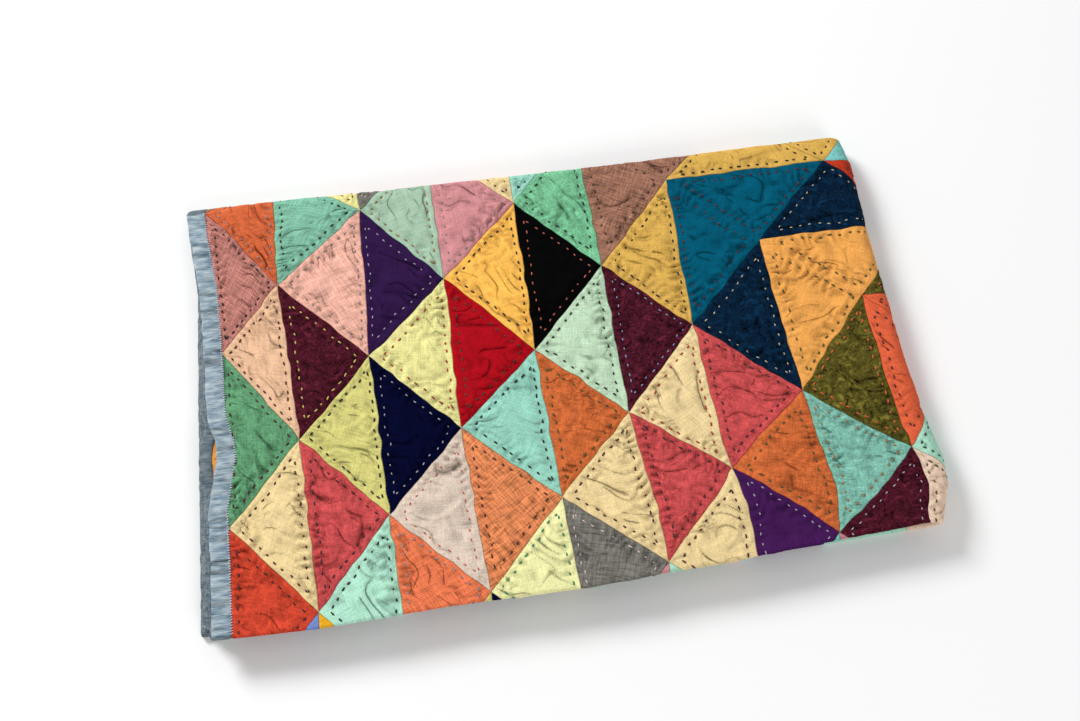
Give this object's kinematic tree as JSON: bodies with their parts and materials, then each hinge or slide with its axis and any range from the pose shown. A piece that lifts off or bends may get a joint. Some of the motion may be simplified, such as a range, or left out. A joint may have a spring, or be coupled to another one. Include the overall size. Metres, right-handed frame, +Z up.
{
  "type": "folded patchwork quilt",
  "caption": "Bound patchwork quilt of half-square triangles, folded lengthwise in quarters and then in half, lying flat on its lower panel.",
  "frame": {"origin": "middle of the folded pack's footprint, on the surface that it lies on", "axes": "+X along the pack from the bound ends to the crosswise fold, +Y away from the near lengthwise fold, +Z up"},
  "size_m": [0.7064, 0.456, 0.0372],
  "materials": {
    "patchwork": "washed cotton and linen patches, hand quilted",
    "binding": "washed blue chambray strip"
  },
  "bodies": {
    "root": {"quilt_body": "patchwork", "side_binding_top": "binding", "side_binding_under": "binding", "end_binding_outer": "binding", "end_binding_inner": "binding"}
  },
  "joints": []
}
